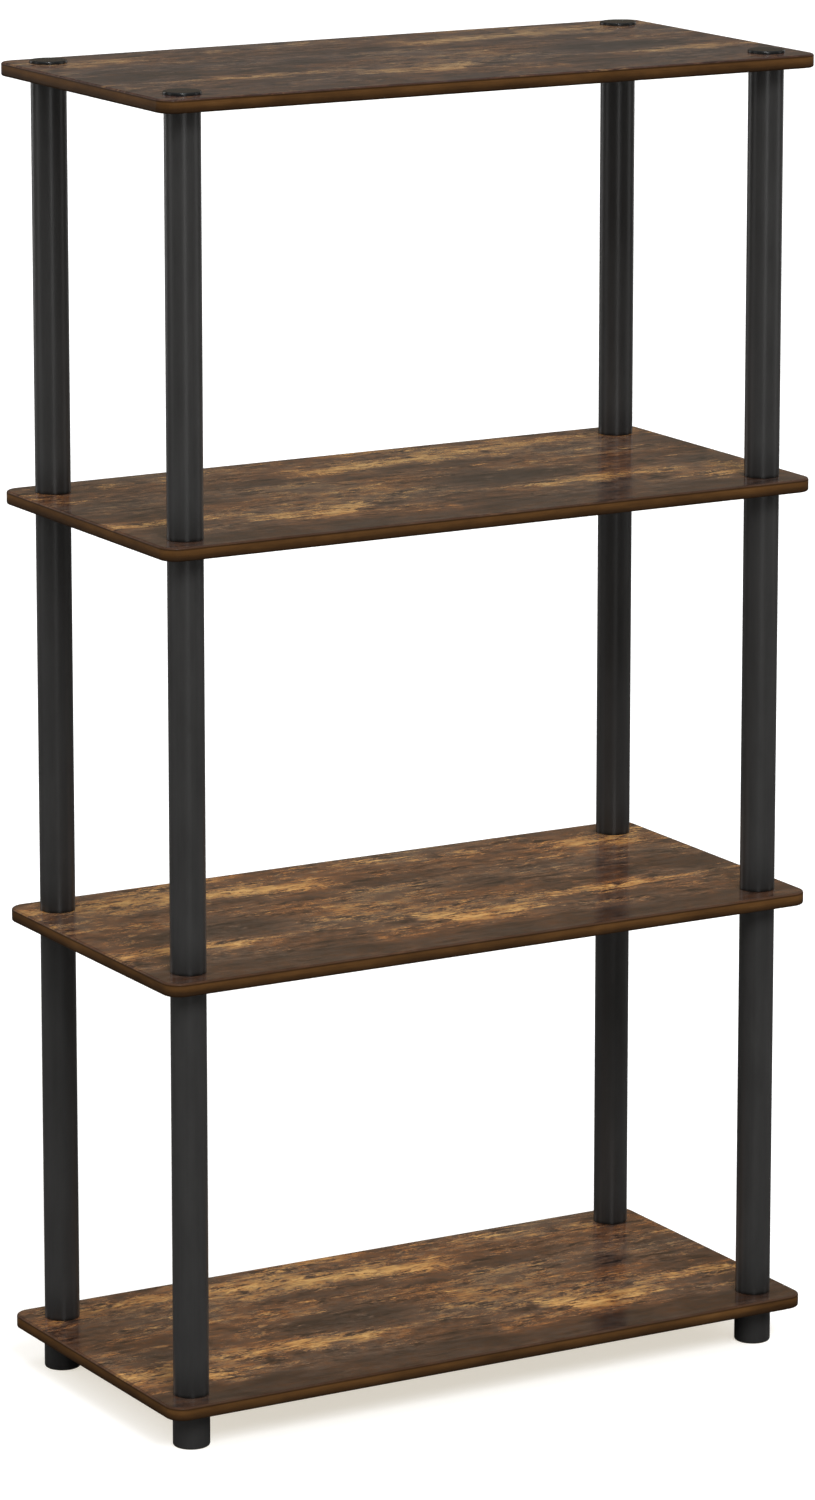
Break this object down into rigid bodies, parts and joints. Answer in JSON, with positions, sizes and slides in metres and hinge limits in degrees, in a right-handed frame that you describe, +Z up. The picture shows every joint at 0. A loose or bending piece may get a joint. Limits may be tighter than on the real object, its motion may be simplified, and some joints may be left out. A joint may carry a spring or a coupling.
{
  "type": "display rack",
  "caption": "Open free-standing display rack: rounded rectangular wood-print shelves stacked on round black screw-together tube posts, on short tube feet, with low round caps on top.",
  "frame": {"origin": "on the floor, under the middle of the shelves (centre of the bounding box's base)", "axes": "+X along the long side of the shelves, +Y from the front to the back, +Z up"},
  "size_m": [0.6, 0.292, 1.0936],
  "materials": {
    "shelf_laminate": "satin wood-print laminate, dark walnut and amber streaks",
    "edge_band": "satin brown edge band",
    "tube_plastic": "satin charcoal",
    "plug_plastic": "moulded black, unseen",
    "foot_plastic": "satin charcoal, moulded",
    "cap_plastic": "satin near-black, moulded"
  },
  "bodies": {
    "root": {"shelf_board_bottom": "shelf_laminate", "edge_band_bottom": "edge_band", "shelf_board_lower_middle": "shelf_laminate", "edge_band_lower_middle": "edge_band", "shelf_board_upper_middle": "shelf_laminate", "edge_band_upper_middle": "edge_band", "shelf_board_top": "shelf_laminate", "edge_band_top": "edge_band", "tube_lower_front_left": "tube_plastic", "stud_plug_lower_front_left": "plug_plastic", "socket_plug_lower_front_left": "plug_plastic", "tube_lower_front_right": "tube_plastic", "stud_plug_lower_front_right": "plug_plastic", "socket_plug_lower_front_right": "plug_plastic", "tube_lower_rear_left": "tube_plastic", "stud_plug_lower_rear_left": "plug_plastic", "socket_plug_lower_rear_left": "plug_plastic", "tube_lower_rear_right": "tube_plastic", "stud_plug_lower_rear_right": "plug_plastic", "socket_plug_lower_rear_right": "plug_plastic", "tube_middle_front_left": "tube_plastic", "stud_plug_middle_front_left": "plug_plastic", "socket_plug_middle_front_left": "plug_plastic", "tube_middle_front_right": "tube_plastic", "stud_plug_middle_front_right": "plug_plastic", "socket_plug_middle_front_right": "plug_plastic", "tube_middle_rear_left": "tube_plastic", "stud_plug_middle_rear_left": "plug_plastic", "socket_plug_middle_rear_left": "plug_plastic", "tube_middle_rear_right": "tube_plastic", "stud_plug_middle_rear_right": "plug_plastic", "socket_plug_middle_rear_right": "plug_plastic", "tube_upper_front_left": "tube_plastic", "stud_plug_upper_front_left": "plug_plastic", "socket_plug_upper_front_left": "plug_plastic", "tube_upper_front_right": "tube_plastic", "stud_plug_upper_front_right": "plug_plastic", "socket_plug_upper_front_right": "plug_plastic", "tube_upper_rear_left": "tube_plastic", "stud_plug_upper_rear_left": "plug_plastic", "socket_plug_upper_rear_left": "plug_plastic", "tube_upper_rear_right": "tube_plastic", "stud_plug_upper_rear_right": "plug_plastic", "socket_plug_upper_rear_right": "plug_plastic", "foot_front_left": "foot_plastic", "cap_front_left": "cap_plastic", "foot_front_right": "foot_plastic", "cap_front_right": "cap_plastic", "foot_rear_left": "foot_plastic", "cap_rear_left": "cap_plastic", "foot_rear_right": "foot_plastic", "cap_rear_right": "cap_plastic"}
  },
  "joints": []
}
